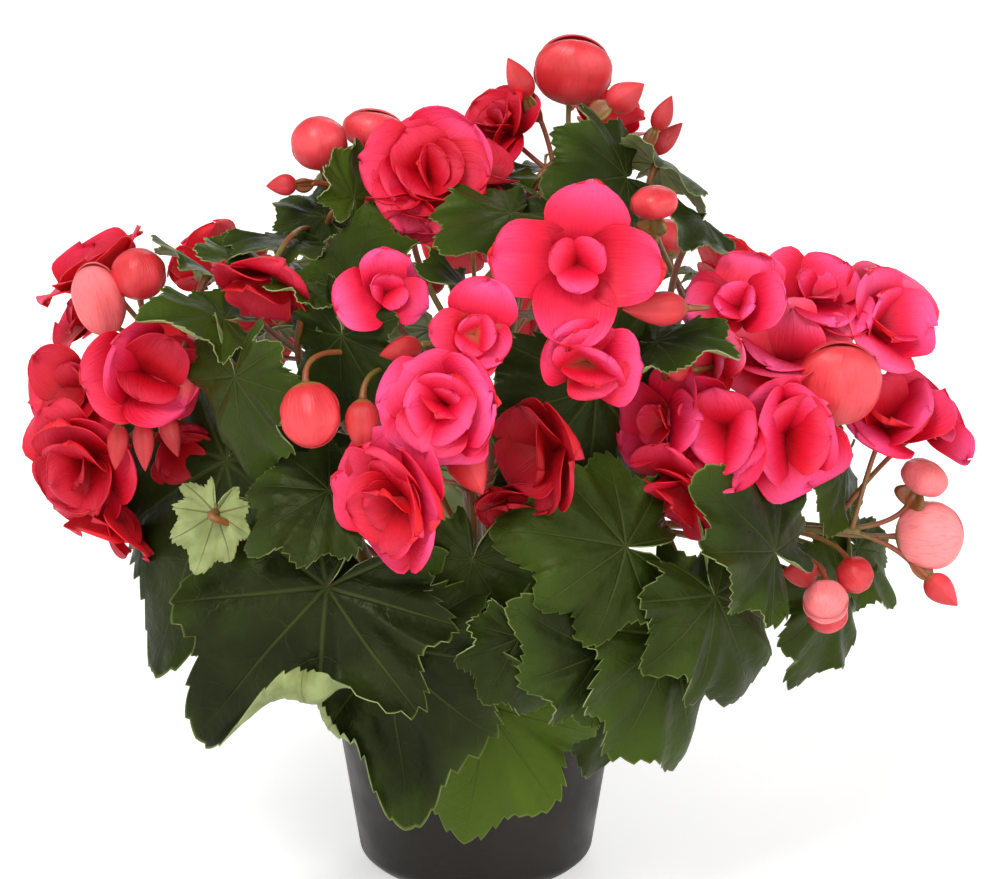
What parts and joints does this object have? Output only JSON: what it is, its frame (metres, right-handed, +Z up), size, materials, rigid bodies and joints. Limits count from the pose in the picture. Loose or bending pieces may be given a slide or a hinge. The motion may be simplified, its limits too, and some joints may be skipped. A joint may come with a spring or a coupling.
{
  "type": "potted begonia",
  "caption": "Flowering begonia in a round tapered plastic nursery pot: a leafy bush on fleshy stems with forked sprays of layered blooms and closed buds.",
  "frame": {"origin": "centre of the flat underside of the pot's floor", "axes": "+Z up along the pot's axis, -Y towards the plant's front, +X to the viewer's right when looking at the front"},
  "size_m": [0.3583, 0.286, 0.3366],
  "materials": {
    "pot": "satin dark grey moulded plastic",
    "soil": "rough dark potting mix",
    "leaf": "fleshy satin green leaf, paler underneath",
    "spray": "smooth fleshy reddish stalk, orange-red buds, olive bracts",
    "petal": "soft pink petal with a deeper red throat"
  },
  "bodies": {
    "root": {"pot": "pot", "soil": "soil", "spray_top": "spray", "spray_upperLeft": "spray", "spray_centre": "spray", "spray_middleLeft": "spray", "spray_middleLow": "spray", "spray_left": "spray", "spray_right": "spray", "spray_rightMiddle": "spray", "spray_rightLow": "spray", "spray_backLeft": "spray", "spray_backMiddle": "spray", "spray_backRight": "spray", "bloomTopLeft": "petal", "bloomTopRight": "petal", "bloomUpperLeft": "petal", "bloomUpperMiddle": "petal", "bloomLeftBell": "petal", "bloomCentre": "petal", "bloomCentreLow": "petal", "bloomSide": "petal", "bloomEye": "petal", "bloomMiddle": "petal", "bloomLow": "petal", "bloomShade": "petal", "bloomLeftTop": "petal", "bloomLeftCup": "petal", "bloomLeftOuter": "petal", "bloomLeftLow": "petal", "bloomLeftFoot": "petal", "bloomLeftInner": "petal", "bloomUnderLeaves": "petal", "bloomRightTop": "petal", "bloomRightBack": "petal", "bloomRightOuter": "petal", "bloomRightInner": "petal", "bloomRightSmall": "petal", "bloomRightCup": "petal", "bloomRightMiddle": "petal", "bloomRightSide": "petal", "bloomRightUnder": "petal", "bloomRightLow": "petal", "bloomRightEnd": "petal", "bloomBackLeft": "petal", "bloomBackLeftLow": "petal", "bloomBackLeftSide": "petal", "bloomBack": "petal", "bloomBackLow": "petal", "bloomBackRight": "petal", "bloomBackRightSide": "petal", "leaves_leftFront": "leaf", "leaves_leftBack": "leaf", "leaves_front": "leaf", "leaves_middle": "leaf", "leaves_rightFront": "leaf", "leaves_rightBack": "leaf", "leaves_back": "leaf"}
  },
  "joints": []
}
